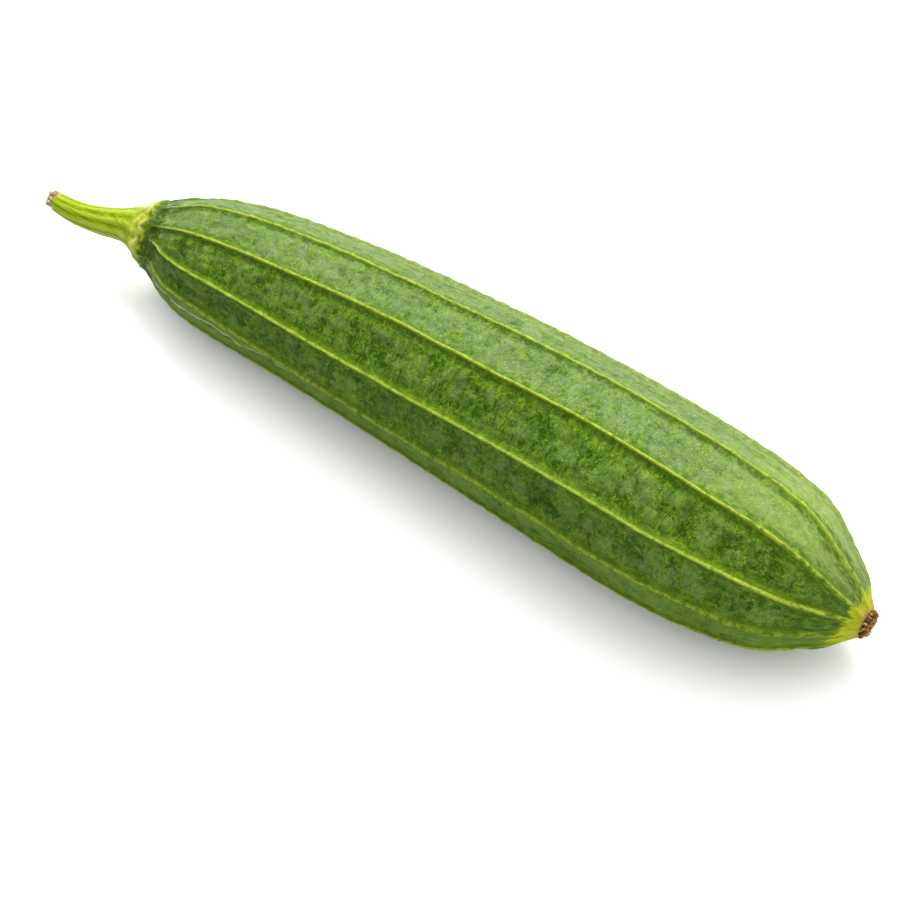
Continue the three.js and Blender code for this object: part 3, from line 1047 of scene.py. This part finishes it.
def draw_seam(r, skin):
    """A broken painted highlight line with painted shade along its lower side."""
    in_seam, from_seam = r.mark("seam"), r.mark("from_seam")
    # Painted highlight: a broken pale line.
    highlight_line = r.span(r.sum("ABSOLUTE", from_seam, 0), *SEAM_LINE)
    highlight_line = r.times(highlight_line, r.span(in_seam, 0.5, 0.9))
    skin = r.lay(r.times(highlight_line, r.span(r.dashes, 0.36, 0.52, 0.35, 0.9)), SEAM_HIGHLIGHT, skin)
    # Painted shade along the highlight's lower side.
    shade_line = r.times(r.span(from_seam, *SEAM_SHADE_COMES), r.span(from_seam, *SEAM_SHADE_GOES))
    shade_line = r.times(shade_line, r.span(in_seam, 0.4, 0.8))
    return r.lay(r.times(shade_line, 0.85), DEEP_GREEN, skin)


def stain_shoulder(r, skin, crest):
    """Pale and dark stains round the collar, and painted shade below each crest near the collar."""
    stain = r.cloud((0.8, 0.5, 0.5), 380, detail=4, roughness=0.7)
    pale = r.times(r.span(r.along, *SHOULDER_PALE), r.span(stain, 0.51, 0.40))
    skin = r.lay(r.times(pale, 0.65), RAY_PALE, skin)
    dark = r.times(r.span(r.along, *SHOULDER_DARK), r.span(stain, 0.40, 0.50))
    dark = r.times(dark, r.span(crest, 0, 1, 0.80, 0.25, soft=False))
    skin = r.lay(dark, SHOULDER_GREEN, skin)
    # Painted shade on the lower side of each crest near the collar.
    shaded = r.times(r.span(r.below, 0.1, 0.9), r.span(r.from_crest, *SHADED_MARGIN))
    shaded = r.times(shaded, r.span(r.along, *SHOULDER_SHADED))
    return r.lay(r.times(shaded, 0.60), SHOULDER_GREEN, skin)


def colour_tip(r, skin):
    """Dark scratches, then the ragged yellow neck and the cream ring round the flower's scar."""
    scratch = r.cloud((0.28, 0.5, 0.5), 560, detail=2, roughness=0.6)
    near_tip = r.times(r.span(r.along, *SCRATCHES_COME), r.span(r.along, *SCRATCHES_GO))
    skin = r.lay(r.times(near_tip, r.span(scratch, 0.57, 0.64, 0, 0.7)), SHOULDER_GREEN, skin)
    lobes = r.cloud((0.6, 0.35, 0.35), 260, detail=3, roughness=0.7)
    ragged = r.sum("ADD", r.along, r.span(lobes, 0.3, 0.7, -NECK_LOBES, NECK_LOBES, soft=False))
    skin = r.lay(r.span(ragged, *YELLOW_COMES), NECK_YELLOW, skin)
    return r.lay(r.span(ragged, *CREAM_COMES), TIP_CREAM, skin)


def green_skin():
    r = Skin()
    plain = r.span(r.faint, 0, 1, 1.0, 0.3, soft=False)
    crest = find_crest(r, plain)
    skin = paint_upper_light_and_rays(r, mottle_skin(r))
    skin = mark_crest_margins(r, skin, plain)
    skin = r.lay(crest, CREST_LIME, skin)
    skin = r.lay(r.times(r.faint, r.span(r.from_crest, *WASHED_MARGIN, 0, 0.34)), RAY_PALE, skin)
    skin = draw_seam(r, skin)
    skin = stain_shoulder(r, skin, crest)
    skin = colour_tip(r, skin)

    relief = r.bump(r.mottle, 0.6 * MM)
    relief = r.bump(r.swirl_line, 0.14 * MM, under=relief)
    relief = r.bump(r.crisp, 0.18 * MM, under=relief)
    return r.connect(skin, r.span(r.mottle, 0.3, 0.7, 0.28, 0.38), SKIN_GLOSS, relief)


def stalk_green():
    r = Recipe("ribbed_stalk")
    place = r.object_place()
    rib, out, knob = r.mark("rib"), r.mark("out"), r.mark("knobs")
    streak = r.noise(r.stretch(place, (0.06, 1, 1)), 900, detail=3, roughness=0.6)
    line = r.noise(r.stretch(place, (0.05, 1, 1)), 1900, detail=2, roughness=0.6)
    fine = r.noise(place, 1500, detail=2, roughness=0.6)
    groove, flank, top = STALK_GREENS
    tone = r.total((rib, 0.35), (streak, 0.90), (line, 0.45))
    skin = r.blend(r.span(tone, 0.60, 0.84), groove, flank)
    skin = r.blend(r.span(tone, 0.84, 1.10), skin, top)

    # Painted shade and painted highlights: the collar darkens in its hollows and turns pale on its knobs.
    shaded_hollow, slope, top = COLLAR_LIT_AND_SHADED_GREENS
    lumps = r.total((knob, 0.8), (fine, 0.3), (r.noise(place, 600, detail=3), 0.6))
    collar = r.blend(r.span(lumps, 0.55, 0.85), shaded_hollow, slope)
    collar = r.blend(r.span(lumps, 0.82, 1.10), collar, top)
    uneven = r.sum("ADD", out, r.span(streak, 0.3, 0.7, -COLLAR_FRAY, COLLAR_FRAY))
    skin = r.blend(r.span(uneven, *COLLAR_BORDER), skin, collar)
    blotch = r.noise(place, 520, detail=4, roughness=0.7)
    shoulder = r.blend(r.span(blotch, 0.44, 0.60), SHOULDER_GREEN, SHOULDER_LEAF)
    border = r.sum("ADD", out, r.span(blotch, 0.3, 0.7, -SHOULDER_FRAY, SHOULDER_FRAY))
    skin = r.blend(r.span(border, *SHOULDER_BORDER), skin, shoulder)

    relief = r.bump(streak, 0.4 * MM)
    relief = r.bump(line, 0.2 * MM, under=relief)
    relief = r.bump(fine, 0.1 * MM, under=relief)
    return r.connect(skin, r.span(fine, 0.3, 0.7, 0.36, 0.46), STALK_GLOSS, relief)


def dry_cork(name, gap, crumb, pale):
    r = Recipe(name)
    grain = r.noise(r.object_place(), 1600, detail=3, roughness=0.7)
    tone = r.total((r.mark("crumbs"), 0.8), (grain, 0.5))
    skin = r.blend(r.span(tone, 0.28, 0.52), gap, crumb)
    skin = r.blend(r.span(tone, 0.50, 0.85), skin, pale)
    return r.connect(skin, r.span(grain, 0.3, 0.7, 0.75, 0.95), CORK_GLOSS, r.bump(grain, 0.3 * MM))


# ---------------------------------------------------------------- making

place_camera()
light_the_room()
lay_floor()

fruit = make_fruit()
fruit.data.materials.append(green_skin())
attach(fruit, "root")
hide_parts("fruit")

stem = make_stem()
stem.data.materials.append(stalk_green())
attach(stem, "root")
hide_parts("stem")

cut_end = crumbly_plug(
    "stalk_cut_end", stem_middle(CUT_PLACE), stem_direction(STEM_STATIONS[-1]), CUT_RADIUS,
    CUT_LENGTH, CUT_CRUMB,
)
cut_end.data.materials.append(dry_cork("dry_cut", *CUT_COLOURS))
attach(cut_end, "root")

tip_direction = direction_at(FRUIT_LENGTH)
scar = crumbly_plug(
    "flower_scar", middle_at(FRUIT_LENGTH) + tip_direction * SCAR_PROUD, tip_direction, SCAR_RADIUS,
    SCAR_LENGTH, SCAR_CRUMB,
)
scar.data.materials.append(dry_cork("dry_scar", *SCAR_COLOURS))
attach(scar, "root")
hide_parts("blossom_scar")
